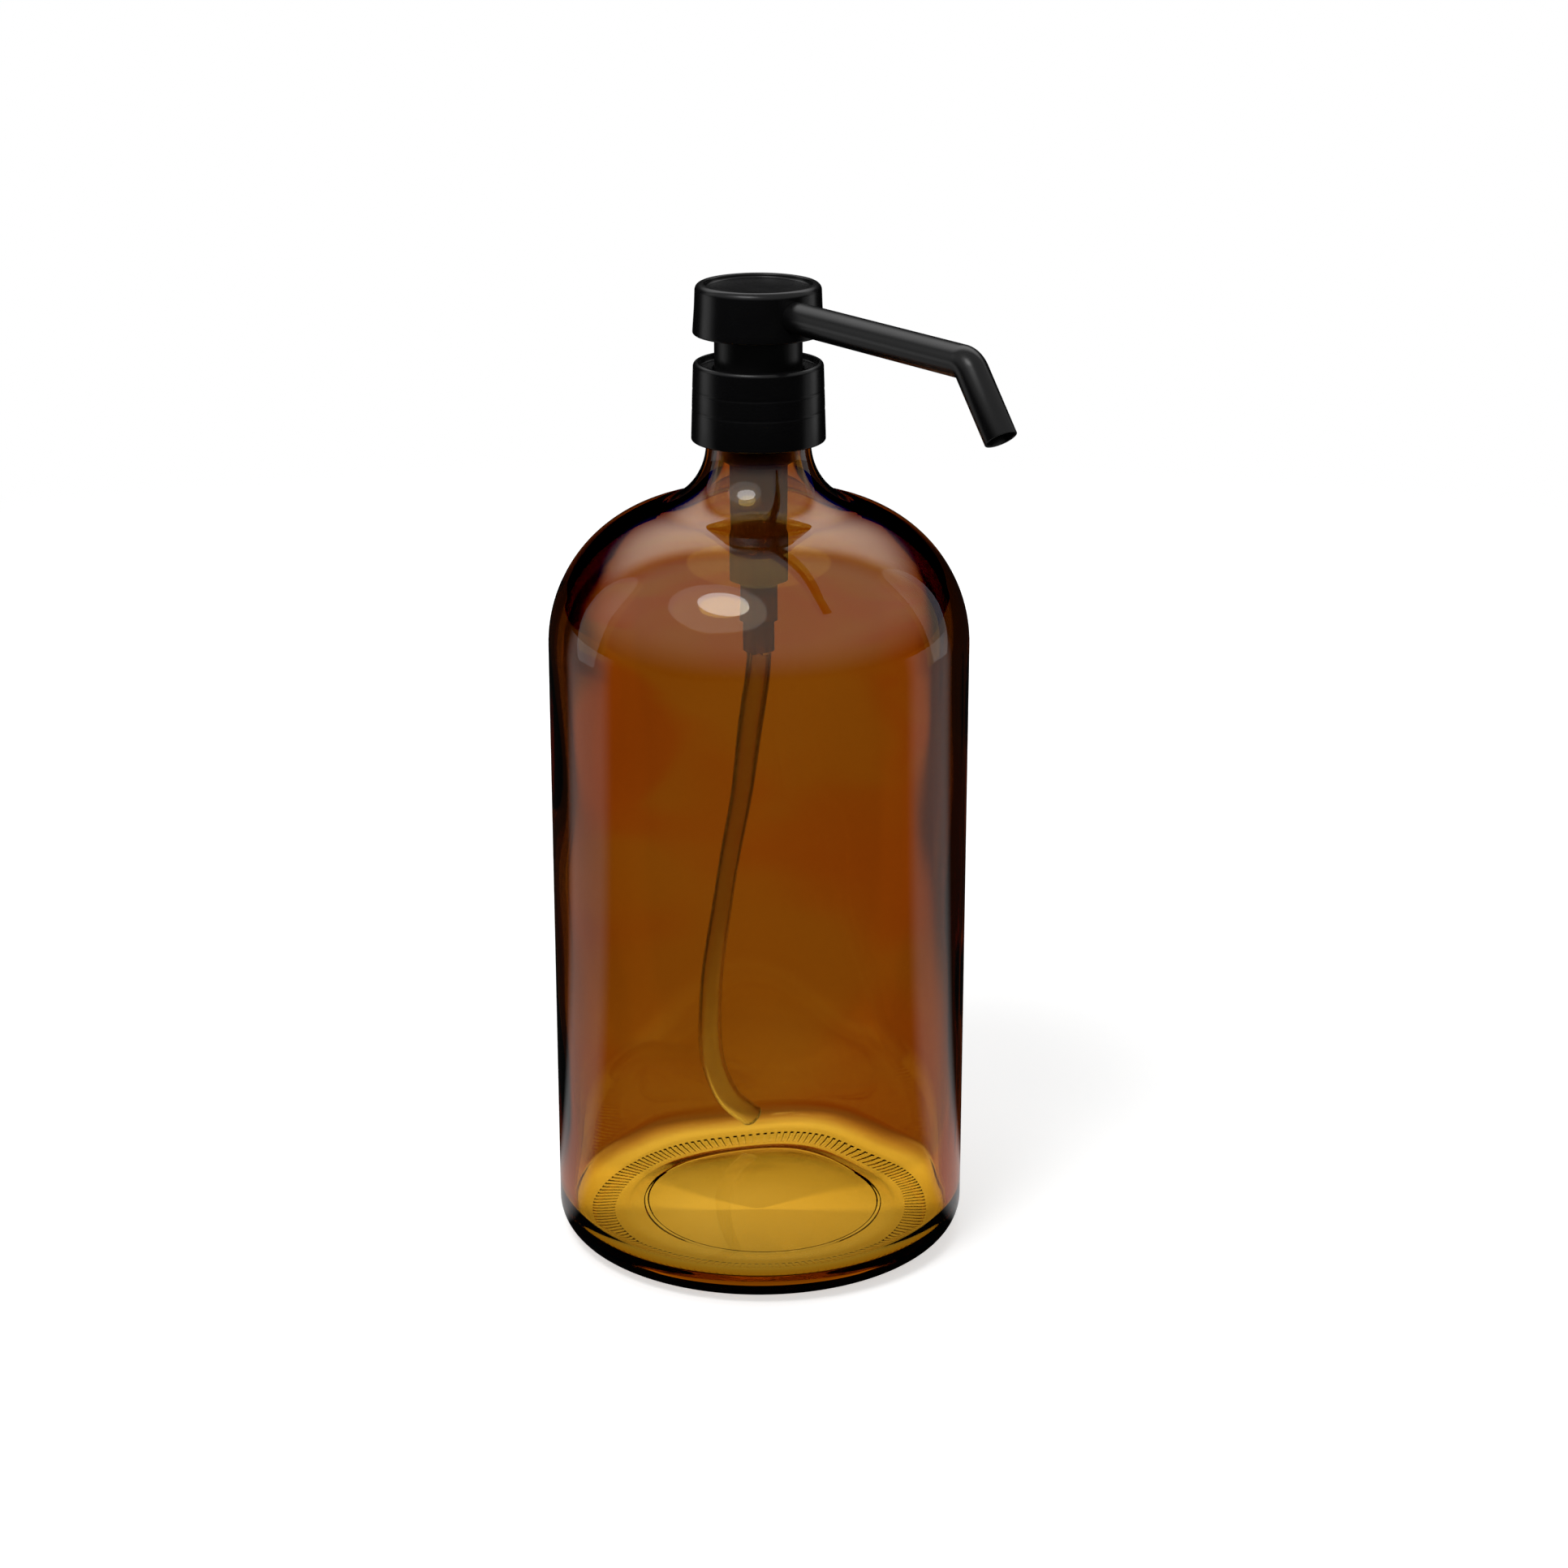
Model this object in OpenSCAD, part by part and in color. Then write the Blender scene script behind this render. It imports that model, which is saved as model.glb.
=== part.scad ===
// Soap pump dispenser: a round-shouldered glass bottle with a screw-on lotion pump.
// The bottle stands on z = 0 with its axis on Z; the spout points along +X at rest.

/* [Bottle] */
// Outer diameter of the straight glass wall
body_d = 96; // [84:1:120]
// Height at which the straight wall turns into the shoulder
body_h = 144; // [115:1:180]
// Radius of the round shoulder
shoulder_r = 33; // [24:1:36]
// Radius of the hollow blend between shoulder and neck
neck_blend_r = 14.8; // [12:0.1:16]
// Outer diameter of the neck, which is also the root of its thread
neck_d = 23.6; // [23:0.1:24.2]
// Bore of the neck
neck_bore_d = 18.8; // [18.4:0.1:19.4]
// Height of the threaded finish above the neck blend
finish_h = 8.2; // [8:0.1:11]
// Radius of the heel, where the wall turns in to the standing ring
heel_r = 7.3; // [4:0.1:10]
// Thickness of the glass wall
glass_t = 3; // [2:0.1:4]
// Thickness of the glass floor
floor_t = 5; // [3:0.1:8]
// Inner diameter of the flat ring that the bottle stands on
ring_bore_d = 66; // [50:1:70]
// Height of the push-up in the middle of the base
push_up_h = 4.5; // [2:0.1:8]

/* [Thread] */
// Rise of the thread in one turn
thread_pitch = 4.23; // [4:0.01:4.4]
// Height of the neck's thread over its root
thread_h = 1.4; // [1.2:0.05:1.5]
// Turns of thread on the neck
neck_turns = 1.1; // [0.8:0.05:1.2]
// Turns of thread inside the collar
collar_turns = 0.65; // [0.4:0.05:0.7]

/* [Collar] */
// Height of the collar's outer shell
collar_h = 17.7; // [17.5:0.1:22]
// Diameter of the shell at its lower edge
collar_d = 30.2; // [30:0.1:34]
// Diameter of the shell at its top
collar_top_d = 29.2; // [29.1:0.1:33]
// How far the shell reaches down past the bottle's lip
collar_cover = 7.5; // [7.2:0.1:8]
// Depth of the recess in the shell's top
recess_depth = 1.5; // [0.8:0.1:2]
// Width of the rim around that recess
collar_rim_w = 1.1; // [0.8:0.1:1.4]
// Thickness of the drawn sheet of the shells
shell_t = 0.6; // [0.5:0.05:0.8]
// Wall of the moulded liner inside the shell
liner_t = 0.65; // [0.5:0.05:0.8]

/* [Head] */
// Height of the press head
head_h = 11.2; // [10.8:0.1:14]
// Diameter of the head at its lower edge
head_d = 29.3; // [29:0.1:32]
// Diameter of the head at its top
head_top_d = 28.2; // [28:0.1:31]
// Radius of the rounded upper edge
head_edge_r = 1.5; // [0.8:0.1:2]
// Depth of the dish in the head's top
dish_depth = 1; // [0.4:0.1:1]
// Width of the rim around the dish
head_rim_w = 1.9; // [1.6:0.1:3]
// Diameter of the sleeve under the head
sleeve_d = 19.7; // [19:0.1:20]
// How far the head can be pressed down
stroke = 6; // [4:0.1:6.2]

/* [Spout] */
// Outer diameter of the spout tube
spout_d = 7.1; // [6.4:0.1:7.4]
// Wall of the spout tube
spout_t = 0.6; // [0.5:0.05:0.9]
// Distance from the pump's axis to the bend
spout_reach = 74; // [55:1:95]
// Angle by which the tip turns down from level
tip_angle = 52; // [35:1:70]
// Length of the tip from the bend's corner to the outlet
tip_length = 17.7; // [12:0.1:26]
// Radius of the bend along the tube's middle
bend_r = 4.3; // [4.2:0.1:9]
// Height of the tube's middle above the head's lower edge
spout_rise = 5.5; // [5.2:0.1:6]

/* [Pump] */
// Diameter of the housing's flange
flange_d = 25.8; // [25:0.1:26.2]
// Thickness of that flange
flange_t = 1.2; // [1:0.1:1.6]
// Thickness of the gasket under it
gasket_t = 1; // [0.8:0.1:1.6]
// Outer diameter of the housing inside the neck
guide_seat_d = 17.2; // [16.8:0.1:17.6]
// Outer diameter of the pump barrel
barrel_d = 13.1; // [12.6:0.1:13.6]
// Wall of the housing
housing_t = 1.05; // [0.9:0.05:1.2]
// Length of the barrel, from the guide's seat to its floor
barrel_l = 28; // [26:0.5:34]
// Outer diameter of the valve chamber under the barrel
valve_d = 8.4; // [8:0.1:9]
// Length of the valve chamber
valve_l = 10; // [9:0.1:13]
// Length of the socket that holds the dip tube
socket_l = 7; // [5:0.5:10]
// Diameter of the stem
stem_d = 6; // [5.6:0.1:6.2]
// Bore of the stem
stem_bore_d = 2.4; // [2:0.1:2.6]
// Length of the piston
piston_l = 7; // [6:0.1:8]
// Diameter of the valve ball under the barrel
inlet_ball_d = 4.4; // [4.2:0.1:4.6]
// Diameter of the valve ball on top of the stem
outlet_ball_d = 3; // [2.8:0.1:3.2]

/* [Spring] */
// Wire of the return spring
wire_d = 0.9; // [0.7:0.05:1]
// Outer diameter of the return spring
spring_d = 9.2; // [8.8:0.1:9.6]
// Number of turns
spring_turns = 7; // [5:1:8]

/* [Dip tube] */
// Outer diameter of the dip tube
tube_d = 5.3; // [4.8:0.1:5.4]
// Bore of the dip tube
tube_bore_d = 3.9; // [3.4:0.1:4.2]

/* [Fits] */
// Gap beside parts that pass each other
free_gap = 0.3; // [0.3:0.05:0.4]
// Gap in a running fit, on the radius
run_gap = 0.06; // [0.03:0.01:0.1]
// Gap in an assembled fit, on the radius
seat_gap = 0.03; // [0.02:0.01:0.05]

/* [Hidden] */
$fn = 96;
eps = 0.01;

// Bottle outline, worked out from the driving sizes
body_r = body_d / 2;
neck_r = neck_d / 2;
neck_bore_r = neck_bore_d / 2;
shoulder_x = body_r - shoulder_r;
blend_x = neck_r + neck_blend_r;
blend_z = body_h + sqrt(pow(shoulder_r + neck_blend_r, 2) - pow(blend_x - shoulder_x, 2));
blend_angle = atan2(blend_z - body_h, blend_x - shoulder_x);
lip_z = blend_z + finish_h;
lip_round_r = 0.8;
inner_r = body_r - glass_t;
inner_blend_r = neck_blend_r + neck_r - neck_bore_r;
inner_shoulder_r = shoulder_r - glass_t;
inner_blend_z = body_h
    + sqrt(pow(inner_shoulder_r + inner_blend_r, 2) - pow(blend_x - shoulder_x, 2));
inner_blend_angle = atan2(inner_blend_z - body_h, blend_x - shoulder_x);
ring_r = ring_bore_d / 2;
floor_corner_r = heel_r - glass_t / 2;
dome_r = (ring_r * ring_r + push_up_h * push_up_h) / (2 * push_up_h);
dome_half_angle = asin(ring_r / dome_r);
arc_steps = 18;

// Stack on the lip: gasket, flange, then the collar that holds them down
gasket_z = lip_z;
flange_z = gasket_z + gasket_t;
flange_top = flange_z + flange_t;
liner_disc_t = 1.2;
collar_z = lip_z - collar_cover;
collar_top = collar_z + collar_h;
recess_z = collar_top - recess_depth;
collar_hole_r = sleeve_d / 2 + free_gap;
collar_bore_r = collar_top_d / 2 - shell_t + 0.2;
liner_r = collar_bore_r - seat_gap;
liner_bore_r = liner_r - liner_t;
edge_r = 0.5;

// Thread forms: half heights at the root and at the crest, along the axis
thread_root_half = 1.15;
thread_crest_half = 0.55;
thread_steps = 30;
thread_bite = 0.3;
neck_thread_z = collar_z + 1.2;
thread_drop = 1.75;
collar_thread_h = liner_bore_r - neck_r - free_gap - 0.05;
collar_root_half = 0.85;
collar_crest_half = 0.4;
collar_thread_z = collar_z + 1.5;
thread_start = 360 * (collar_thread_z + thread_drop - neck_thread_z) / thread_pitch;

// Head
head_z = collar_top + stroke + free_gap;
head_top = head_z + head_h;
head_bore_r = head_top_d / 2 - 0.85;
core_r = head_bore_r - seat_gap;
dish_z = head_top - dish_depth;
core_top = dish_z - shell_t - seat_gap;
sleeve_r = sleeve_d / 2;
sleeve_t = 1.2;
sleeve_z = flange_top + free_gap + stroke;
plate_t = 1.2;
core_plate_z = head_z + 0.5;
hub_r = 5;
hub_z = sleeve_z + 4.9;
stem_top = hub_z + 4;
spout_z = head_z + spout_rise;
spout_r = spout_d / 2;
spout_bore_r = spout_r - spout_t;
spout_root_x = 4.5;

// Pump, from the flange down
seat_r = guide_seat_d / 2;
seat_bore_r = seat_r - housing_t;
barrel_r = barrel_d / 2;
bore_r = barrel_r - housing_t;
guide_seat_l = 12.6;
barrel_top = flange_z - guide_seat_l;
barrel_floor_t = 1.6;
barrel_floor = barrel_top - barrel_l + barrel_floor_t;
valve_top = barrel_floor - barrel_floor_t;
valve_bore_r = valve_d / 2 - 1.1;
valve_z = valve_top - valve_l;
ball_seat_t = 1.6;
ball_seat_z = valve_z + ball_seat_t;
ball_seat_r = 1.6;
socket_z = valve_z - socket_l;
tube_r = tube_d / 2;
socket_t = 0.75;
vent_d = 1;

// Moving stack inside the barrel
stem_r = stem_d / 2;
stem_bore_r = stem_bore_d / 2;
guide_foot = barrel_top + 0.6;
piston_top = guide_foot - free_gap;
piston_z = piston_top - piston_l;
stem_z = piston_z - 0.6;
plug_t = 1.5;
plug_z = stem_z - plug_t;
plug_r = spring_d / 2 + 0.1;
guide_r = seat_bore_r - seat_gap;
guide_rim_r = sleeve_r - sleeve_t - free_gap;
guide_rim_t = 0.6;
guide_top = hub_z - stroke - free_gap;
wiper_h = 1.3;
wiper_r = 4.6;
wiper_z = guide_top - 2 - wiper_h;

// Valve cage and balls
cage_flange_t = 1.2;
cage_r = valve_bore_r - seat_gap;
cage_l = 5;
cage_floor_t = 0.8;
inlet_ball_r = inlet_ball_d / 2;
inlet_ball_z = ball_seat_z + sqrt(pow(inlet_ball_r, 2) - pow(ball_seat_r, 2)) + 0.02;
outlet_ball_r = outlet_ball_d / 2;
outlet_seat_depth = 3.5;
outlet_ball_z = stem_top - outlet_seat_depth
    + sqrt(pow(outlet_ball_r, 2) - pow(stem_bore_r, 2)) + 0.02;

// Return spring between the cage and the plug
spring_z = barrel_floor + cage_flange_t;
spring_h = plug_z - spring_z;
wire_sides = 8;
wire_steps = 14;

// Dip tube route: x and y as shares of the inner radius, height as a share of the way
// from the floor up to the tube's socket
tube_share = [[-0.04, 0, 0.9], [-0.13, -0.015, 0.765], [-0.235, -0.027, 0.62],
              [-0.345, -0.027, 0.475], [-0.46, 0.005, 0.33], [-0.565, 0.09, 0.205],
              [-0.645, 0.24, 0.105], [-0.695, 0.42, 0.04]];
tube_sides = 16;
tube_spans = 4;
tube_top = valve_z - eps;
tube_route = concat(
    [[0, 0, tube_top], [0, 0, (tube_top + socket_z) / 2], [0, 0, socket_z],
     [0, 0, socket_z - tube_d / 2]],
    [for (p = tube_share) [p.x * inner_r, p.y * inner_r, floor_t + p.z * (socket_z - floor_t)]]);

// Points along an arc, from angle a to angle b
function arc(cx, cy, r, a, b, steps = arc_steps) =
    [for (i = [0:steps]) let (t = a + (b - a) * i / steps) [cx + r * cos(t), cy + r * sin(t)]];

// A point on a smooth curve through p, between p[i] and p[i + 1]
function curve_point(p, i, t) =
    let (a = p[max(i - 1, 0)], b = p[i], c = p[i + 1], d = p[min(i + 2, len(p) - 1)])
    0.5 * (2 * b + (c - a) * t + (2 * a - 5 * b + 4 * c - d) * t * t
        + (3 * b - a - 3 * c + d) * t * t * t);
function smooth_route(p, spans) = concat(
    [for (i = [0:len(p) - 2], k = [0:spans - 1]) curve_point(p, i, k / spans)],
    [p[len(p) - 1]]);
function unit(v) = v / norm(v);
function heading(p, i) = unit(p[min(i + 1, len(p) - 1)] - p[max(i - 1, 0)]);

// Skin over equal rings of points, closed at both ends or round from the inside
module skin(rings, looped = false) {
    n = len(rings[0]);
    m = len(rings);
    last = looped ? m - 1 : m - 2;
    sides = [for (j = [0:last], i = [0:n - 1])
        let (k = (j + 1) % m, l = (i + 1) % n) [j * n + i, j * n + l, k * n + l, k * n + i]];
    caps = looped ? [] : [[for (i = [n - 1:-1:0]) i], [for (i = [0:n - 1]) (m - 1) * n + i]];
    polyhedron([for (ring = rings) for (q = ring) q], concat(sides, caps), convexity = 10);
}

// Hollow tube along a route of points
module swept_tube(route, r, bore_r, sides) {
    function ring(i, radius) =
        let (t = heading(route, i), u = unit(cross(t, [1, 0, 0])), v = cross(t, u))
        [for (k = [0:sides - 1])
            route[i] + radius * (cos(360 * k / sides) * u + sin(360 * k / sides) * v)];
    n = len(route);
    outside = [for (i = [0:n - 1]) ring(i, r)];
    inside = [for (i = [n - 1:-1:0]) ring(i, bore_r)];
    skin(concat(outside, inside), looped = true);
}

// Helical ridge that stands on a cylinder: outwards on a neck, inwards in a collar.
// Its ends run out over a quarter of a turn.
module thread_ridge(root_r, crest_r, root_half, crest_half, turns, z, start) {
    steps = ceil(thread_steps * turns);
    fade = thread_steps / 4;
    outward = crest_r > root_r ? 1 : -1;
    rings = [for (i = [0:steps])
        let (a = start + 360 * i / thread_steps,
             h = z + thread_pitch * i / thread_steps,
             full = min(1, (i + 0.4) / fade, (steps - i + 0.4) / fade),
             tip_r = root_r + (crest_r - root_r) * full,
             inner = root_r - outward * thread_bite,
             section = [[inner, -root_half], [tip_r, -crest_half],
                        [tip_r, crest_half], [inner, root_half]])
        [for (k = outward > 0 ? [0:3] : [3:-1:0])
            [section[k].x * cos(a), section[k].x * sin(a), h + section[k].y]]];
    skin(rings);
}

// Cylinder along X from x = a to x = b at height z
module bar_x(a, b, r, z) {
    translate([a, 0, z]) rotate([0, 90, 0]) cylinder(h = b - a, r = r);
}

// Ring between two radii
module ring_at(z, h, r, bore) {
    translate([0, 0, z]) difference() {
        cylinder(h = h, r = r);
        translate([0, 0, -1]) cylinder(h = h + 2, r = bore);
    }
}

// Flat cross of two slots through a plate, so that a ball held against it doesn't seal it
module cross_slots(z, h, length, width) {
    for (a = [0, 90])
        rotate([0, 0, a]) translate([-length / 2, -width / 2, z]) cube([length, width, h]);
}

// Blown glass bottle with a round shoulder, a threaded neck and a push-up base
module glass_bottle() {
    outline = concat(
        arc(0, push_up_h - dome_r, dome_r, 90, 90 - dome_half_angle, 8),
        arc(body_r - heel_r, heel_r, heel_r, -90, 0, 10),
        arc(shoulder_x, body_h, shoulder_r, 0, blend_angle),
        arc(blend_x, blend_z, neck_blend_r, blend_angle + 180, 180, 14),
        arc(neck_r - lip_round_r, lip_z - lip_round_r, lip_round_r, 0, 90, 5),
        [[neck_bore_r, lip_z]],
        arc(blend_x, inner_blend_z, inner_blend_r, 180, inner_blend_angle + 180, 14),
        arc(shoulder_x, body_h, inner_shoulder_r, inner_blend_angle, 0),
        arc(inner_r - floor_corner_r, floor_t + floor_corner_r, floor_corner_r, 0, -90, 8),
        arc(0, floor_t + push_up_h - dome_r, dome_r, 90 - dome_half_angle, 90, 8));
    color([0.5, 0.24, 0.06, 0.55]) {
        rotate_extrude() polygon(outline);
        thread_ridge(neck_r, neck_r + thread_h, thread_root_half, thread_crest_half,
            neck_turns, neck_thread_z, 0);
    }
}

// Drawn metal cover of the screw collar, with a recessed top
module collar_shell() {
    top_r = collar_top_d / 2;
    low_r = collar_d / 2;
    rim_r = top_r - collar_rim_w;
    outline = concat(
        [[collar_bore_r, collar_z], [low_r - edge_r, collar_z]],
        arc(low_r - edge_r, collar_z + edge_r, edge_r, -90, 0, 4),
        arc(top_r - 2 * edge_r, collar_top - 2 * edge_r, 2 * edge_r, 0, 90, 6),
        [[rim_r, collar_top], [rim_r, recess_z], [collar_hole_r, recess_z],
         [collar_hole_r, recess_z - shell_t], [collar_bore_r, recess_z - shell_t]]);
    color([0.03, 0.03, 0.03]) rotate_extrude() polygon(outline);
}

// Moulded liner that carries the collar's thread and clamps the housing's flange
module collar_liner() {
    liner_top = recess_z - shell_t - seat_gap;
    throat_t = 0.9;
    color([0.06, 0.06, 0.06]) {
        ring_at(collar_z + 0.4, liner_top - collar_z - 0.4, liner_r, liner_bore_r);
        ring_at(flange_top, liner_disc_t, liner_r - eps, collar_hole_r);
        ring_at(flange_top, liner_top - flange_top, collar_hole_r + throat_t, collar_hole_r);
        thread_ridge(liner_bore_r, liner_bore_r - collar_thread_h, collar_root_half,
            collar_crest_half, collar_turns, collar_thread_z, thread_start);
    }
}

// Soft ring that seals the flange on the bottle's lip
module neck_gasket() {
    color([0.85, 0.85, 0.82]) ring_at(gasket_z, gasket_t, flange_d / 2, neck_bore_r + 0.2);
}

// Moulded housing: flange, guide seat, barrel, valve chamber and dip tube socket
module pump_housing() {
    color([0.82, 0.8, 0.76, 0.7]) difference() {
        union() {
            translate([0, 0, flange_z]) cylinder(h = flange_t, r = flange_d / 2);
            translate([0, 0, barrel_top]) cylinder(h = flange_z - barrel_top + eps, r = seat_r);
            translate([0, 0, barrel_top - 1.5]) cylinder(h = 1.5 + eps, r1 = barrel_r, r2 = seat_r);
            translate([0, 0, valve_top]) cylinder(h = barrel_top - valve_top, r = barrel_r);
            translate([0, 0, valve_top - 1.2])
                cylinder(h = 1.2 + eps, r1 = valve_d / 2, r2 = barrel_r - 0.8);
            translate([0, 0, valve_z]) cylinder(h = valve_l, r = valve_d / 2);
            translate([0, 0, socket_z]) cylinder(h = socket_l + eps, r = tube_r + socket_t);
        }
        translate([0, 0, barrel_top]) cylinder(h = flange_top - barrel_top + 1, r = seat_bore_r);
        translate([0, 0, barrel_floor]) cylinder(h = barrel_top - barrel_floor + eps, r = bore_r);
        translate([0, 0, ball_seat_z])
            cylinder(h = barrel_floor - ball_seat_z + eps, r = valve_bore_r);
        translate([0, 0, valve_z - eps]) cylinder(h = ball_seat_t + 2 * eps, r = ball_seat_r);
        translate([0, 0, socket_z - 1]) cylinder(h = socket_l + 1, r = tube_r + seat_gap);
        rotate([0, 0, 60]) bar_x(bore_r - 1, barrel_r + 1, vent_d / 2, piston_top - 1);
    }
}

// Snap-in guide that keeps the stem central and stops the piston at the top
module stem_guide() {
    color([0.9, 0.9, 0.88]) difference() {
        union() {
            translate([0, 0, guide_foot]) cylinder(h = guide_top - guide_foot, r = guide_r);
            translate([0, 0, flange_top]) cylinder(h = guide_rim_t, r = guide_rim_r);
        }
        translate([0, 0, guide_foot - 1])
            cylinder(h = guide_top - guide_foot + 2, r = stem_r + run_gap);
        translate([0, 0, wiper_z]) cylinder(h = guide_top - wiper_z + 1, r = wiper_r + seat_gap);
        ring_at(guide_foot + 3.5, wiper_z - guide_foot - 5, guide_r - 1.1, stem_r + 1.3);
        ring_at(guide_foot - 1, 4.5 + eps, guide_r - 1.1, stem_r + 1.3);
    }
}

// Ring that wipes the stem
module stem_wiper() {
    color([0.75, 0.75, 0.72]) ring_at(wiper_z, wiper_h, wiper_r, stem_r + run_gap);
}

// Drawn metal cap of the press head, dished on top
module head_shell() {
    top_r = head_top_d / 2;
    low_r = head_d / 2;
    dish_r = top_r - head_rim_w;
    outline = concat(
        [[head_bore_r, head_z]],
        arc(low_r - edge_r, head_z + edge_r, edge_r, -90, 0, 4),
        arc(top_r - head_edge_r, head_top - head_edge_r, head_edge_r, 0, 90, 8),
        [[dish_r, head_top], [dish_r - 0.3, dish_z], [0, dish_z],
         [0, dish_z - shell_t], [head_bore_r, dish_z - shell_t]]);
    color([0.03, 0.03, 0.03]) difference() {
        rotate_extrude() polygon(outline);
        bar_x(0, head_d, spout_r + seat_gap, spout_z);
    }
}

// Moulded core of the head: sleeve, stem socket and the way through to the spout
module head_core() {
    outlet_r = 1;
    color([0.05, 0.05, 0.05]) difference() {
        union() {
            ring_at(sleeve_z, core_top - sleeve_z, sleeve_r, sleeve_r - sleeve_t);
            ring_at(core_plate_z, plate_t, core_r, sleeve_r - sleeve_t);
            translate([0, 0, core_top - plate_t]) cylinder(h = plate_t, r = core_r);
            translate([0, 0, hub_z]) cylinder(h = core_top - hub_z, r = hub_r);
            intersection() {
                bar_x(0, core_r, spout_r + 1, spout_z);
                translate([0, 0, core_plate_z])
                    cylinder(h = core_top - core_plate_z, r = core_r);
            }
        }
        translate([0, 0, hub_z - 1]) cylinder(h = stem_top - hub_z + 1, r = stem_r + seat_gap);
        translate([0, 0, stem_top - eps]) cylinder(h = spout_z - stem_top, r = outlet_r);
        cross_slots(stem_top - eps, spout_z - stem_top, outlet_ball_d + 0.6, 0.8);
        bar_x(-2, spout_root_x + eps, spout_bore_r - 0.4, spout_z);
        bar_x(spout_root_x, head_d, spout_r + seat_gap, spout_z);
    }
}

// Bent metal tube that carries the soap from the head to the outlet. The bend's ends lap
// inside the walls of the straight parts by a small angle.
module spout_tube() {
    setback = bend_r * tan(tip_angle / 2);
    arm_end = spout_reach - setback;
    lap_angle = 2;
    lap_t = 0.02;
    color([0.03, 0.03, 0.03]) {
        difference() {
            bar_x(spout_root_x, arm_end, spout_r, spout_z);
            bar_x(spout_root_x - 1, arm_end + 1, spout_bore_r, spout_z);
        }
        translate([arm_end, 0, spout_z - bend_r]) rotate([90, 0, 0])
            rotate([0, 0, 90 - tip_angle - lap_angle])
            rotate_extrude(angle = tip_angle + 2 * lap_angle) translate([bend_r, 0]) difference() {
                circle(r = spout_r - lap_t);
                circle(r = spout_bore_r + lap_t);
            }
        translate([spout_reach, 0, spout_z]) rotate([0, 90 + tip_angle, 0])
            ring_at(setback, tip_length - setback, spout_r, spout_bore_r);
    }
}

// Hollow stem from the head down to the piston, with a ball seat at its top
module stem() {
    port_r = 0.6;
    color([0.88, 0.88, 0.85]) difference() {
        translate([0, 0, stem_z]) cylinder(h = stem_top - stem_z, r = stem_r);
        translate([0, 0, stem_z - 1]) cylinder(h = stem_top - stem_z + 2, r = stem_bore_r);
        translate([0, 0, stem_top - outlet_seat_depth])
            cylinder(h = outlet_seat_depth + 1, r = outlet_ball_r + free_gap);
        for (side = [0, 180])
            rotate([0, 0, side]) bar_x(0, stem_r + 1, port_r, piston_z + piston_l / 2);
    }
}

// Piston with a sealing lip at each end of its skirt
module piston() {
    skirt_r = bore_r - 0.35;
    lip_r = bore_r - run_gap;
    web_z = piston_z + piston_l / 2;
    outline = [[stem_r + run_gap, piston_z], [stem_r + 0.9, piston_z],
        [stem_r + 0.9, web_z - 0.5], [skirt_r - 0.6, web_z - 0.5], [lip_r - 0.5, piston_z],
        [lip_r, piston_z], [lip_r, piston_z + 0.8], [skirt_r, piston_z + 1.8],
        [skirt_r, piston_top - 1.8], [lip_r, piston_top - 0.8], [lip_r, piston_top],
        [lip_r - 0.5, piston_top], [skirt_r - 0.6, web_z + 0.5], [stem_r + 0.9, web_z + 0.5],
        [stem_r + 0.9, piston_top], [stem_r + run_gap, piston_top]];
    color([0.95, 0.95, 0.93]) rotate_extrude() polygon(outline);
}

// Plug that closes the stem's foot, keeps the piston on and takes the spring
module stem_plug() {
    pin_l = 2.5;
    color([0.9, 0.9, 0.88]) {
        translate([0, 0, plug_z]) cylinder(h = plug_t, r = plug_r);
        translate([0, 0, plug_z + plug_t - eps])
            cylinder(h = pin_l + eps, r = stem_bore_r - seat_gap);
        translate([0, 0, plug_z - 1.5]) cylinder(h = 1.5 + eps, r = spring_d / 2 - wire_d - 0.4);
    }
}

// Helical spring that pushes the stem back up; its end turns lie close
module return_spring() {
    mean_r = (spring_d - wire_d) / 2;
    wire_r = wire_d / 2;
    steps = spring_turns * wire_steps;
    rise = spring_h - wire_d - 2 * seat_gap;
    low = spring_z + wire_r + seat_gap;
    closed = 1.1 * wire_d;
    function coil_z(turn) =
        turn < 1 ? closed * turn
        : turn > spring_turns - 1 ? rise - closed * (spring_turns - turn)
        : closed + (rise - 2 * closed) * (turn - 1) / (spring_turns - 2);
    rings = [for (i = [0:steps])
        let (a = 360 * i / wire_steps, h = low + coil_z(i / wire_steps))
        [for (k = [0:wire_sides - 1])
            let (b = 360 * k / wire_sides, r = mean_r + wire_r * cos(b))
            [r * cos(a), r * sin(a), h - wire_r * sin(b)]]];
    color([0.7, 0.7, 0.72]) skin([for (i = [len(rings) - 1:-1:0]) rings[i]]);
}

// Cage that keeps the inlet ball in its chamber and gives the spring its seat
module valve_cage() {
    foot_z = barrel_floor - cage_l;
    color([0.9, 0.9, 0.88]) difference() {
        union() {
            translate([0, 0, foot_z]) cylinder(h = cage_l + eps, r = cage_r);
            translate([0, 0, barrel_floor]) cylinder(h = cage_flange_t, r = bore_r - seat_gap);
        }
        translate([0, 0, foot_z + cage_floor_t])
            cylinder(h = cage_l + cage_flange_t, r = cage_r - 0.7);
        translate([0, 0, foot_z - 1]) cylinder(h = cage_l, r = 1.1);
        cross_slots(foot_z - 1, cage_floor_t + 2, 2 * (cage_r - 0.9), 0.8);
    }
}

// Steel balls of the two valves
module inlet_ball() {
    color([0.75, 0.75, 0.77]) translate([0, 0, inlet_ball_z]) sphere(r = inlet_ball_r);
}

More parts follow.
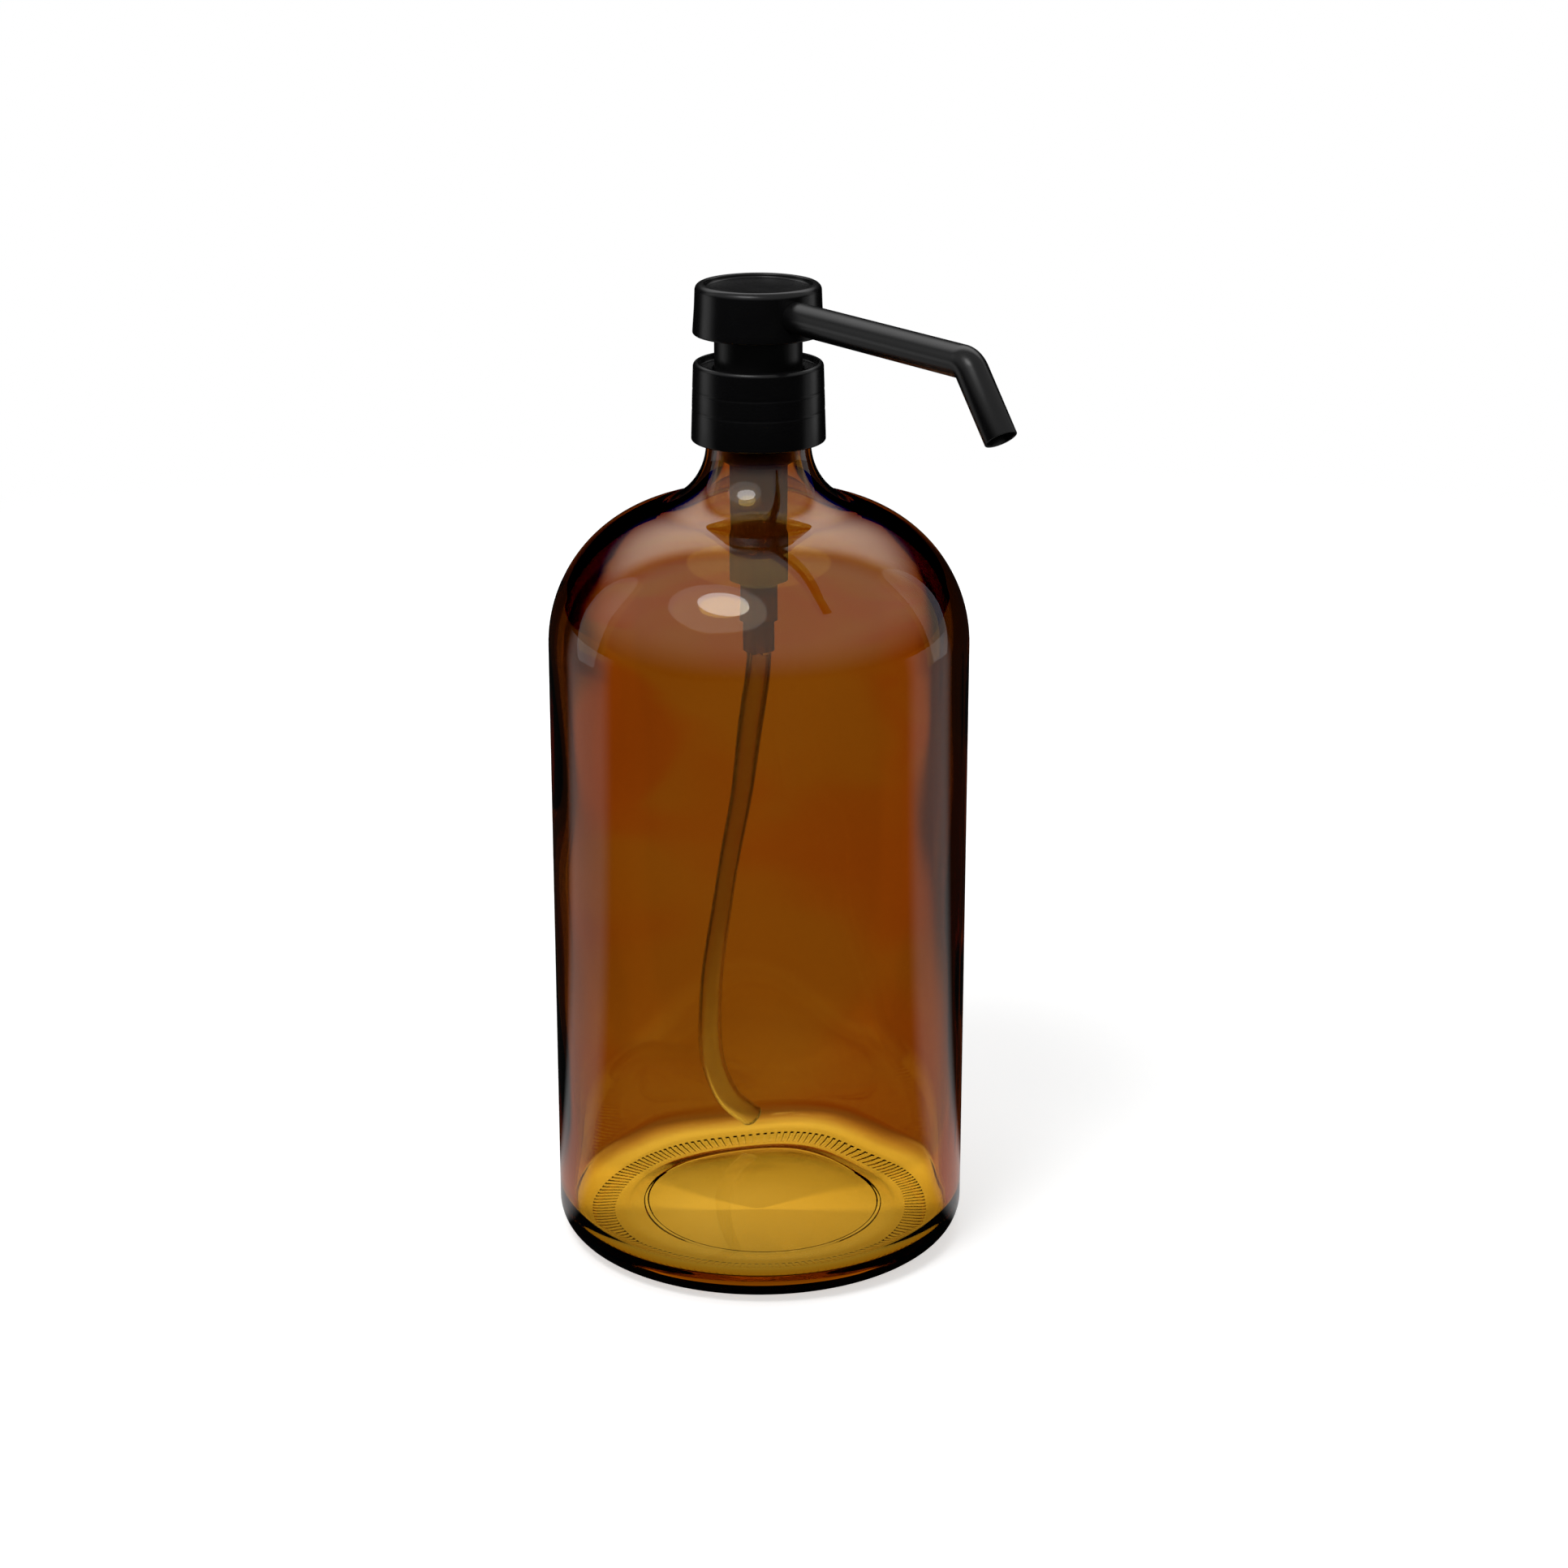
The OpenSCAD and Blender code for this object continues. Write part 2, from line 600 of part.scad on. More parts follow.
module outlet_ball() {
    color([0.75, 0.75, 0.77]) translate([0, 0, outlet_ball_z]) sphere(r = outlet_ball_r);
}

// Flexible dip tube, set in a curve, from the housing's socket to the back of the floor
module dip_tube() {
    color([0.8, 0.76, 0.7, 0.7])
        swept_tube(smooth_route(tube_route, tube_spans), tube_r, tube_bore_d / 2, tube_sides);
}

glass_bottle();
collar_shell();
collar_liner();
neck_gasket();
pump_housing();
stem_guide();
stem_wiper();
head_shell();
head_core();
spout_tube();
stem();
piston();
stem_plug();
return_spring();
valve_cage();
inlet_ball();
outlet_ball();
dip_tube();
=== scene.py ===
from math import atan2, cos, hypot, pi, radians, sin, sqrt, tan

import bpy
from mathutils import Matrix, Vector


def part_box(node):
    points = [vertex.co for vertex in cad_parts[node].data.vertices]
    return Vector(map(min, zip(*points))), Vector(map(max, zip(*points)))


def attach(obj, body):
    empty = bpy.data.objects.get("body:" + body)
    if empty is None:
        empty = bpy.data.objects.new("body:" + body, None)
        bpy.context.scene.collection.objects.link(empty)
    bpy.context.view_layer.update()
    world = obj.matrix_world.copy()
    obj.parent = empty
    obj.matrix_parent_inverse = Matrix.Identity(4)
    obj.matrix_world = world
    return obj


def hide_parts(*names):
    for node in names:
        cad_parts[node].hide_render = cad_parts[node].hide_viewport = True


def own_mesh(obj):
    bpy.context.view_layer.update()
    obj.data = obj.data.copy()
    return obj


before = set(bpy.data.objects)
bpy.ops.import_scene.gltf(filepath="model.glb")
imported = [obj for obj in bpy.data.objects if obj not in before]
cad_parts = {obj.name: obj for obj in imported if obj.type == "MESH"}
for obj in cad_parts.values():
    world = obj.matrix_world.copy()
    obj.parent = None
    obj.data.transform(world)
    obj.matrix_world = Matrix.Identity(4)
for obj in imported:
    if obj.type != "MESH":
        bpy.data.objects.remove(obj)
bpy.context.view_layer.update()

mm = 0.001

# ---- Bottle ----
# Round amber glass bottle, blown in a two-part mould and fire polished: a straight body,
# a domed shoulder, a threaded neck and a push-up base that stands on a stippled ring.
# The blown inside is slightly wavy, and faint mould seams run up two sides.
body_r = 48 * mm
body_h = 144 * mm
shoulder_r = 33 * mm
neck_r = 11.8 * mm
neck_bore_r = 9.4 * mm
neck_blend_r = 14.8 * mm
finish_h = 8.2 * mm
heel_r = 7.3 * mm
glass_t = 3 * mm
floor_t = 5 * mm
ring_r = 33 * mm
push_up_h = 4.5 * mm
mould_mark_r = 27.8 * mm
mould_mark_half = 0.6 * mm
mould_mark_depth = 0.5 * mm
lip_round_r = 0.8 * mm
lip_chamfer = 0.5 * mm
bottle_sides = 288
stipple_in = 2 * mm
stipple_depth = 0.45 * mm
seam_angle = pi / 4
seam_h = 0.06 * mm
wave_h = 0.9 * mm
wave_size = 26 * mm
wave_fade_low = 12 * mm
wave_fade_high = 20 * mm
thread_pitch = 4.23 * mm
thread_h = 1.4 * mm
thread_sunk = 0.15 * mm
thread_root_half = 1.15 * mm
thread_crest_half = 0.55 * mm
thread_turns = 1.1
thread_lift = 1.2 * mm
thread_steps = 88
thread_end_steps = 20
collar_cover = 7.5 * mm

shoulder_x = body_r - shoulder_r
blend_x = neck_r + neck_blend_r
blend_z = body_h + sqrt((shoulder_r + neck_blend_r) ** 2 - (blend_x - shoulder_x) ** 2)
blend_angle = atan2(blend_z - body_h, blend_x - shoulder_x)
lip_z = blend_z + finish_h
inner_r = body_r - glass_t
inner_blend_r = blend_x - neck_bore_r
inner_shoulder_r = shoulder_r - glass_t
inner_blend_z = body_h + sqrt((inner_shoulder_r + inner_blend_r) ** 2 - (blend_x - shoulder_x) ** 2)
inner_blend_angle = atan2(inner_blend_z - body_h, blend_x - shoulder_x)
floor_corner_r = heel_r - glass_t / 2
dome_r = (ring_r ** 2 + push_up_h ** 2) / (2 * push_up_h)
dome_half = atan2(ring_r, dome_r - push_up_h)


def arc(x, z, r, start, end, steps=24):
    """Points of an arc in the outline's plane, from angle start to angle end, in radians."""
    angles = [start + (end - start) * i / steps for i in range(steps + 1)]
    return [(x + r * cos(a), z + r * sin(a)) for a in angles]


def line(a, b, steps):
    """Even points from a to b, without b."""
    return [(a[0] + (b[0] - a[0]) * i / steps, a[1] + (b[1] - a[1]) * i / steps) for i in range(steps)]


def only(piece):
    """Makes one object the active and selected one."""
    bpy.ops.object.select_all(action="DESELECT")
    piece.select_set(True)
    bpy.context.view_layer.objects.active = piece


def name_new(name):
    """Names the object that an operator has just made."""
    bpy.context.object.name = bpy.context.object.data.name = name
    return bpy.context.object


def draw_outline(name, points):
    """Draws an outline in the XZ plane, one extruded point at a time, and stays in edit mode."""
    bpy.ops.object.select_all(action="DESELECT")
    bpy.ops.mesh.primitive_plane_add(size=mm)
    piece = name_new(name)
    bpy.ops.object.mode_set(mode="EDIT")
    bpy.ops.mesh.select_mode(type="VERT")
    bpy.ops.mesh.merge(type="CENTER")
    bpy.ops.transform.translate(value=(points[0][0], 0, points[0][1]))
    for a, b in zip(points, points[1:]):
        step = (b[0] - a[0], 0, b[1] - a[1])
        bpy.ops.mesh.extrude_region_move(TRANSFORM_OT_translate={"value": step})
    return piece


def turn(name, points, sides):
    """A turned body: its outline spun round Z, merged, with its normals outwards."""
    piece = draw_outline(name, points)
    bpy.ops.mesh.select_all(action="SELECT")
    bpy.ops.mesh.spin(steps=sides, angle=2 * pi, center=(0, 0, 0), axis=(0, 0, 1))
    bpy.ops.mesh.select_all(action="SELECT")
    bpy.ops.mesh.remove_doubles(threshold=0.002 * mm)
    bpy.ops.mesh.normals_make_consistent(inside=False)
    bpy.ops.object.mode_set(mode="OBJECT")
    return piece


def smooth(piece, degrees=35):
    """Smooth shading, with edges sharper than the angle kept crisp."""
    only(piece)
    bpy.ops.object.shade_smooth_by_angle(angle=radians(degrees))


def apply_all(piece):
    """Applies every modifier of a piece, in order."""
    only(piece)
    for modifier in list(piece.modifiers):
        bpy.ops.object.modifier_apply(modifier=modifier.name)


def pick(piece, kind, indices):
    """Enters edit mode with only these vertices ("VERT") or faces ("FACE") selected."""
    only(piece)
    bpy.ops.object.mode_set(mode="EDIT")
    bpy.ops.mesh.select_mode(type=kind)
    bpy.ops.mesh.select_all(action="DESELECT")
    bpy.ops.object.mode_set(mode="OBJECT")
    items = piece.data.vertices if kind == "VERT" else piece.data.polygons
    for i in indices:
        items[i].select = True
    bpy.ops.object.mode_set(mode="EDIT")


dome_z = push_up_h - dome_r
mark_half = mould_mark_half / dome_r
mark_at = pi / 2 - mould_mark_r / dome_r
outer = (
    arc(0, dome_z, dome_r, pi / 2, mark_at + mark_half, 12)
    + arc(0, dome_z, dome_r + mould_mark_depth, mark_at + mark_half / 2, mark_at - mark_half / 2, 2)
    + arc(0, dome_z, dome_r, mark_at - mark_half, pi / 2 - dome_half, 4)
    + line((ring_r + 2.2 * mm, 0), (body_r - heel_r, 0), 3)
    + arc(body_r - heel_r, heel_r, heel_r, -pi / 2, 0, 20)
    + line((body_r, heel_r + 4 * mm), (body_r, body_h), 12)
    + arc(shoulder_x, body_h, shoulder_r, 0, blend_angle, 32)
    + arc(blend_x, blend_z, neck_blend_r, blend_angle + pi, pi, 24)
    + arc(neck_r - lip_round_r, lip_z - lip_round_r, lip_round_r, 0, pi / 2, 6)
)
inner = (
    [(neck_bore_r + lip_chamfer, lip_z), (neck_bore_r, lip_z - lip_chamfer)]
    + arc(blend_x, inner_blend_z, inner_blend_r, pi, inner_blend_angle + pi, 28)
    + arc(shoulder_x, body_h, inner_shoulder_r, inner_blend_angle, 0, 32)
    + line((inner_r, body_h - 4 * mm), (inner_r, floor_t + floor_corner_r), 26)
    + arc(inner_r - floor_corner_r, floor_t + floor_corner_r, floor_corner_r, 0, -pi / 2, 16)
    + line((inner_r - floor_corner_r - 1.5 * mm, floor_t), (ring_r, floor_t), 2)
    + arc(0, floor_t + push_up_h - dome_r, dome_r, pi / 2 - dome_half, pi / 2, 14)
)
bottle = turn("bottle", outer + inner, bottle_sides)

# Every second face of the standing ring is pressed up into the glass: that is the stipple.
pressed = []
for face in bottle.data.polygons:
    x, y, z = face.center
    side = int((atan2(y, x) % (2 * pi)) / (2 * pi) * bottle_sides)
    if z < 0.02 * mm and hypot(x, y) > ring_r + stipple_in and side % 2 == 0:
        pressed.append(face.index)
pick(bottle, "FACE", pressed)
bpy.ops.mesh.extrude_region_move(TRANSFORM_OT_translate={"value": (0, 0, stipple_depth)})
bpy.ops.object.mode_set(mode="OBJECT")

# The seams are one column of points on each side, drawn out from the outer wall.
seam_points = []
for point in bottle.data.vertices:
    angle, radius = atan2(point.co.y, point.co.x), hypot(point.co.x, point.co.y)
    on_seam = min(abs(angle - seam_angle), abs(angle + pi - seam_angle)) < pi / bottle_sides
    if on_seam and heel_r < point.co.z < body_h and radius > body_r - 0.5 * mm:
        seam_points.append(point.index)
pick(bottle, "VERT", seam_points)
grow = 1 + seam_h / body_r
bpy.ops.transform.resize(value=(grow, grow, 1), center_override=(0, 0, body_h / 2))
bpy.ops.object.mode_set(mode="OBJECT")

# The blown inside wall is displaced a little by soft waves, which die out over the floor
# and up the shoulder.
wave_top = body_h + wave_fade_high
blown = bottle.vertex_groups.new(name="blown")
for point in bottle.data.vertices:
    radius = hypot(point.co.x, point.co.y)
    inside = radius < inner_r + 0.2 * mm and point.co.z > floor_t + 1.2 * mm
    if inside and point.co.z < wave_top and radius > 8 * mm:
        share = min(1, (point.co.z - floor_t) / wave_fade_low, (wave_top - point.co.z) / wave_fade_high)
        blown.add([point.index], max(share, 0), "REPLACE")
waves = bpy.data.textures.new("blown_waves", "CLOUDS")
waves.noise_scale = wave_size
waves.noise_depth = 0
wave = bottle.modifiers.new("waves", "DISPLACE")
wave.texture = waves
wave.texture_coords = "LOCAL"
wave.strength = wave_h
wave.mid_level = 0.5
wave.vertex_group = "blown"
apply_all(bottle)
smooth(bottle)

# The thread is a ridge wound round the neck; its ends run out over a quarter of a turn.
thread_z = lip_z - collar_cover + thread_lift
root = neck_r - thread_sunk
crest = neck_r + thread_h
ridge = draw_outline("thread", [
    (root, thread_z - thread_root_half), (crest, thread_z - thread_crest_half),
    (crest, thread_z + thread_crest_half), (root, thread_z + thread_root_half)])
bpy.ops.object.mode_set(mode="OBJECT")
winding = ridge.modifiers.new("winding", "SCREW")
winding.angle = 2 * pi * thread_turns
winding.screw_offset = thread_pitch * thread_turns
winding.steps = winding.render_steps = thread_steps
apply_all(ridge)
for step in range(thread_end_steps):
    shrink = 1 - (thread_h + thread_sunk) / crest * (1 - step / thread_end_steps)
    for ring in (step, thread_steps - step):
        turned = ring / thread_steps * 2 * pi * thread_turns
        chosen = []
        for point in ridge.data.vertices:
            climbed = (point.co.z - thread_z) / thread_pitch * 2 * pi
            off = (atan2(point.co.y, point.co.x) - turned + pi) % (2 * pi) - pi
            if abs(climbed - turned) < pi and abs(off) < 0.02:
                chosen.append(point.index)
        pick(ridge, "VERT", chosen)
        bpy.ops.transform.resize(value=(shrink, shrink, 1), center_override=(0, 0, thread_z))
        bpy.ops.object.mode_set(mode="OBJECT")
smooth(ridge)
only(bottle)
ridge.select_set(True)
bpy.ops.object.join()


def new_material(name):
    """A material with a Principled shader; returns the material, its nodes, links and shader."""
    material = bpy.data.materials.new(name)
    material.use_nodes = True
    nodes, links = material.node_tree.nodes, material.node_tree.links
    return material, nodes, links, nodes["Principled BSDF"]


def wear(piece, material):
    """Gives a piece one material in place of those it has."""
    piece.data.materials.clear()
    piece.data.materials.append(material)


def group_sockets(group, inputs, outputs):
    """Adds named sockets to a node group: inputs as (name, kind, value), outputs as (name, kind)."""
    for name, kind, value in inputs:
        socket = group.interface.new_socket(name, in_out="INPUT", socket_type=kind)
        if value is not None:
            socket.default_value = value
    for name, kind in outputs:
        group.interface.new_socket(name, in_out="OUTPUT", socket_type=kind)


def maths(operation, a, b, c=None):
    """A maths node in the tree of nodes being built; an input is a socket or a number."""
    node = nodes.new("ShaderNodeMath")
    node.operation = operation
    for socket, value in zip(node.inputs, (a, b, c)):
        if isinstance(value, bpy.types.NodeSocket):
            links.new(value, socket)
        elif value is not None:
            socket.default_value = value
    return node.outputs[0]


# Surface drift: a slow change of colour and roughness, with fine marks over it.
drift = bpy.data.node_groups.new("surface_drift", "ShaderNodeTree")
group_sockets(
    drift,
    [("Vector", "NodeSocketVector", None), ("Colour", "NodeSocketColor", (0.5, 0.5, 0.5, 1)),
     ("Colour Change", "NodeSocketFloat", 0.2), ("Roughness", "NodeSocketFloat", 0.4),
     ("Roughness Change", "NodeSocketFloat", 0.1), ("Patch Scale", "NodeSocketFloat", 60.0),
     ("Mark Scale", "NodeSocketFloat", 900.0)],
    [("Colour", "NodeSocketColor"), ("Roughness", "NodeSocketFloat"), ("Height", "NodeSocketFloat")])
nodes, links = drift.nodes, drift.links
came, out = nodes.new("NodeGroupInput"), nodes.new("NodeGroupOutput")
patches, marks = nodes.new("ShaderNodeTexNoise"), nodes.new("ShaderNodeTexNoise")
patches.inputs["Detail"].default_value = 3
marks.inputs["Detail"].default_value = 2
for texture, scale in ((patches, "Patch Scale"), (marks, "Mark Scale")):
    links.new(came.outputs["Vector"], texture.inputs["Vector"])
    links.new(came.outputs[scale], texture.inputs["Scale"])
tone = maths("MULTIPLY_ADD", patches.outputs["Fac"], came.outputs["Colour Change"], 1)
tone = maths("MULTIPLY_ADD", came.outputs["Colour Change"], -0.5, tone)
tint = nodes.new("ShaderNodeVectorMath")
tint.operation = "SCALE"
links.new(came.outputs["Colour"], tint.inputs[0])
links.new(tone, tint.inputs["Scale"])
links.new(tint.outputs[0], out.inputs["Colour"])
centred = maths("SUBTRACT", maths("ADD", patches.outputs["Fac"], marks.outputs["Fac"]), 1)
rough = maths("MULTIPLY_ADD", centred, came.outputs["Roughness Change"], came.outputs["Roughness"])
links.new(rough, out.inputs["Roughness"])
links.new(marks.outputs["Fac"], out.inputs["Height"])


def drifting(nodes, links, shader, colour, change, roughness, rough_change, patch, mark, bump=0.0):
    """Feeds a shader's colour, roughness and bump from the surface drift group."""
    place = nodes.new("ShaderNodeTexCoord")
    surface = nodes.new("ShaderNodeGroup")
    surface.node_tree = drift
    links.new(place.outputs["Object"], surface.inputs["Vector"])
    settings = {"Colour": (*colour, 1), "Colour Change": change, "Roughness": roughness,
                "Roughness Change": rough_change, "Patch Scale": patch, "Mark Scale": mark}
    for name, value in settings.items():
        surface.inputs[name].default_value = value
    links.new(surface.outputs["Colour"], shader.inputs["Base Color"])
    links.new(surface.outputs["Roughness"], shader.inputs["Roughness"])
    if bump:
        relief = nodes.new("ShaderNodeBump")
        relief.inputs["Strength"].default_value = bump
        relief.inputs["Distance"].default_value = 0.02 * mm
        links.new(surface.outputs["Height"], relief.inputs["Height"])
        links.new(relief.outputs["Normal"], shader.inputs["Normal"])


amber, nodes, links, shader = new_material("amber_glass")
drifting(nodes, links, shader, (0.99, 0.985, 0.97), 0.02, 0.015, 0.01, 30, 300)
shader.inputs["Transmission Weight"].default_value = 1
shader.inputs["IOR"].default_value = 1.5
tinted = nodes.new("ShaderNodeVolumeAbsorption")
tinted.inputs["Color"].default_value = (0.83, 0.665, 0.0, 1)
tinted.inputs["Density"].default_value = 420
links.new(tinted.outputs[0], nodes["Material Output"].inputs["Volume"])
wear(bottle, amber)
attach(bottle, "bottle")
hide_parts("glass_bottle")

# ---- Screw collar ----
# The collar's cover is drawn from thin steel sheet and coated satin black. Its wall leans in
# slightly, two faint sink bands run round it, and its top is sunk inside a narrow rim.
collar_h = 17.7 * mm
collar_low_r = 15.1 * mm
collar_top_r = 14.6 * mm
collar_rim_w = 1.1 * mm
recess_depth = 1.5 * mm
shell_t = 0.6 * mm
collar_hole_r = 10.15 * mm
collar_bore_r = collar_top_r - shell_t + 0.2 * mm
shell_edge_r = 0.5 * mm
sink_depth = 0.05 * mm
sink_h = 1.1 * mm
sinks_at = (7.2 * mm, 11.6 * mm)
collar_z = lip_z - collar_cover
collar_top = collar_z + collar_h
recess_z = collar_top - recess_depth


def wall_r(z):
    """Radius of the collar's leaning wall at height z."""
    return collar_low_r + (collar_top_r - collar_low_r) * (z - collar_z) / collar_h


def sink(z):
    """A shallow hollow band in the wall, centred on height z."""
    steps = [(i / 8 - 0.5) * sink_h for i in range(9)]
    return [(wall_r(z + s) - sink_depth * cos(pi * s / sink_h) ** 2, z + s) for s in steps]


collar_outline = (
    [(collar_bore_r, collar_z), (collar_low_r - shell_edge_r, collar_z)]
    + arc(collar_low_r - shell_edge_r, collar_z + shell_edge_r, shell_edge_r, -pi / 2, 0, 8)
    + sink(collar_z + sinks_at[0]) + sink(collar_z + sinks_at[1])
    + arc(collar_top_r - 2 * shell_edge_r, collar_top - 2 * shell_edge_r, 2 * shell_edge_r, 0, pi / 2, 10)
    + arc(collar_top_r - collar_rim_w + 0.1 * mm, collar_top - 0.2 * mm, 0.2 * mm, pi / 2, pi, 4)
    + arc(collar_top_r - collar_rim_w - 0.4 * mm, recess_z + 0.3 * mm, 0.3 * mm, 0, -pi / 2, 5)
    + [(collar_hole_r + 0.2 * mm, recess_z), (collar_hole_r, recess_z - 0.2 * mm),
       (collar_hole_r, recess_z - shell_t), (collar_bore_r, recess_z - shell_t)])
collar = turn("collar_cover", collar_outline + collar_outline[:1], 160)
smooth(collar)

coat, nodes, links, shader = new_material("black_coat")
drifting(nodes, links, shader, (0.0025, 0.0025, 0.0027), 0.5, 0.24, 0.08, 120, 2600, bump=0.3)
shader.inputs["Specular IOR Level"].default_value = 0.3
wear(collar, coat)
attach(collar, "collar")
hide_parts("collar_shell")

# The moulded liner inside it carries the thread and clamps the pump's flange to the lip.
moulding, nodes, links, shader = new_material("black_plastic")
drifting(nodes, links, shader, (0.004, 0.004, 0.004), 0.4, 0.33, 0.1, 90, 1800, bump=0.3)
shader.inputs["Specular IOR Level"].default_value = 0.28
for node in ("collar_liner", "head_core"):
    wear(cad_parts[node], moulding)

# ---- Press head ----
# A drawn and coated cap over a moulded core. Its top is dished inside a rounded rim, its
# lower edge is turned over, and the spout leaves through a round hole in its side.
stroke = 6 * mm
free_gap = 0.3 * mm
head_h = 11.2 * mm
head_low_r = 14.65 * mm
head_top_r = 14.1 * mm
head_edge_r = 1.5 * mm
dish_depth = 1 * mm
dish_r = 12.2 * mm
dish_corner_r = 0.5 * mm
dish_lip_r = 0.4 * mm
hole_gap = 0.05 * mm
spout_rise = 5.5 * mm
spout_r = 3.55 * mm
head_bore_r = head_top_r - 0.85 * mm
head_z = collar_top + stroke + free_gap
head_top = head_z + head_h
dish_z = head_top - dish_depth
spout_z = head_z + spout_rise

head_outline = (
    [(0, dish_z)]
    + line((2 * mm, dish_z), (dish_r - 1.2 * mm, dish_z), 5)
    + arc(dish_r - 0.8 * mm, dish_z + dish_corner_r, dish_corner_r, -pi / 2, 0, 6)
    + arc(dish_r + 0.1 * mm, head_top - dish_lip_r, dish_lip_r, pi, pi / 2, 5)
    + arc(head_top_r - head_edge_r, head_top - head_edge_r, head_edge_r, pi / 2, 0, 12)
    + line((head_top_r + 0.15 * mm, head_z + 6 * mm), (head_low_r, head_z + shell_edge_r), 4)
    + arc(head_low_r - shell_edge_r, head_z + shell_edge_r, shell_edge_r, 0, -pi / 2, 8)
    + [(head_bore_r, head_z), (head_bore_r, dish_z - shell_t), (0, dish_z - shell_t)])
head = turn("head_cap", head_outline, 160)
bpy.ops.object.select_all(action="DESELECT")
bpy.ops.mesh.primitive_cylinder_add(
    vertices=96, radius=spout_r + hole_gap, depth=20 * mm,
    location=(head_low_r, 0, spout_z), rotation=(0, pi / 2, 0))
drill = name_new("spout_hole")
hole = head.modifiers.new("hole", "BOOLEAN")
hole.operation = "DIFFERENCE"
hole.object = drill
apply_all(head)
bpy.data.objects.remove(drill)
smooth(head, 30)
wear(head, coat)
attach(head, "head")
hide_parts("head_shell")

# ---- Spout ----
# Steel tube coated like the head, pressed into the core and bent down near its end. The
# bend is tight, so its inner side is almost a corner while its outer side is round.
spout_wall = 0.6 * mm
spout_root = 4.5 * mm
spout_reach = 74.0 * mm
tip_angle = radians(52)
tip_length = 17.7 * mm
bend_r = 4.3 * mm
arm_parts = 6
edge_ease = 0.12 * mm
setback = bend_r * tan(tip_angle / 2)
arm_end = spout_reach - setback

bpy.ops.object.select_all(action="DESELECT")
bpy.ops.mesh.primitive_circle_add(
    vertices=96, radius=spout_r, location=(spout_root, 0, spout_z), rotation=(0, pi / 2, 0))
spout = name_new("spout")
bpy.ops.object.transform_apply(location=True, rotation=True, scale=True)
bpy.ops.object.mode_set(mode="EDIT")
bpy.ops.mesh.select_mode(type="EDGE")
bpy.ops.mesh.select_all(action="SELECT")
for _ in range(arm_parts):
    step = (arm_end - spout_root) / arm_parts
    bpy.ops.mesh.extrude_region_move(TRANSFORM_OT_translate={"value": (step, 0, 0)})
bpy.ops.mesh.spin(steps=20, angle=tip_angle, center=(arm_end, 0, spout_z - bend_r), axis=(0, -1, 0))
down = Vector((cos(tip_angle), 0, -sin(tip_angle))) * (tip_length - setback)
bpy.ops.mesh.extrude_region_move(TRANSFORM_OT_translate={"value": down})
bpy.ops.mesh.select_all(action="SELECT")
bpy.ops.mesh.remove_doubles(threshold=0.002 * mm)
bpy.ops.mesh.normals_make_consistent(inside=False)
bpy.ops.object.mode_set(mode="OBJECT")
wall = spout.modifiers.new("wall", "SOLIDIFY")
wall.thickness = spout_wall
wall.offset = -1
ease = spout.modifiers.new("ease", "BEVEL")
ease.width = edge_ease
ease.segments = 2
ease.angle_limit = radians(60)
apply_all(spout)
smooth(spout)
wear(spout, coat)
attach(spout, "head")
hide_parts("spout_tube")

# ---- Pump ----
# The pump's housing, guide, stem, plug and valve cage are moulded in unpigmented plastic,
# which is milky and lets light through. The piston, wiper and gasket are a softer white.
milky_painted_amber_light, nodes, links, shader = new_material("natural_plastic")
# Its base colour is darker and orange-brown over the plastic's milky white: painted amber light from the
# glass and painted shade inside the bottle.
drifting(nodes, links, shader, (0.6, 0.26, 0.14), 0.12, 0.38, 0.08, 60, 900, bump=0.2)
shader.inputs["Transmission Weight"].default_value = 0.75
shader.inputs["IOR"].default_value = 1.45
for node in ("pump_housing", "stem_guide", "stem", "stem_plug", "valve_cage"):
    wear(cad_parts[node], milky_painted_amber_light)

soft, nodes, links, shader = new_material("seal")
drifting(nodes, links, shader, (0.7, 0.69, 0.65), 0.1, 0.55, 0.1, 80, 1200, bump=0.25)
for node in ("piston", "stem_wiper", "neck_gasket"):
    wear(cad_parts[node], soft)

polished, nodes, links, shader = new_material("ball_steel")
drifting(nodes, links, shader, (0.72, 0.72, 0.74), 0.06, 0.1, 0.05, 200, 3000)
shader.inputs["Metallic"].default_value = 1
for node in ("inlet_ball", "outlet_ball"):
    wear(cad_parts[node], polished)

# ---- Return spring ----
# Stainless wire wound on a mandrel, with its end turns laid close. It stands on the valve
# cage and pushes the stem up.
wire_d = 0.9 * mm
spring_d = 9.2 * mm
spring_turns = 7
coil_sides = 36
spring_low, spring_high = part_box("return_spring")
closed = 1.1 * wire_d
rise = spring_high.z - spring_low.z - wire_d


def coil_rise(turns):
    """Height of the wire's middle over its lower end, after a number of turns."""
    if turns < 1:
        return closed * turns
    if turns > spring_turns - 1:
        return rise - closed * (spring_turns - turns)
    return closed + (rise - 2 * closed) * (turns - 1) / (spring_turns - 2)


def pipe_along(name, points, r, sides):
    """A round bar along a line of points, made as a bevelled curve and turned into a mesh."""
    bpy.ops.object.select_all(action="DESELECT")
    bpy.ops.curve.primitive_nurbs_path_add()
    piece = name_new(name)
    piece.data.splines.clear()
    spline = piece.data.splines.new("POLY")
    spline.points.add(len(points) - 1)
    for place, point in zip(spline.points, points):
        place.co = (*point, 1)
    piece.data.bevel_depth = r
    piece.data.bevel_resolution = sides // 4 - 1
    piece.data.twist_mode = "MINIMUM"
    piece.data.use_fill_caps = True
    bpy.ops.object.convert(target="MESH")
    return bpy.context.object


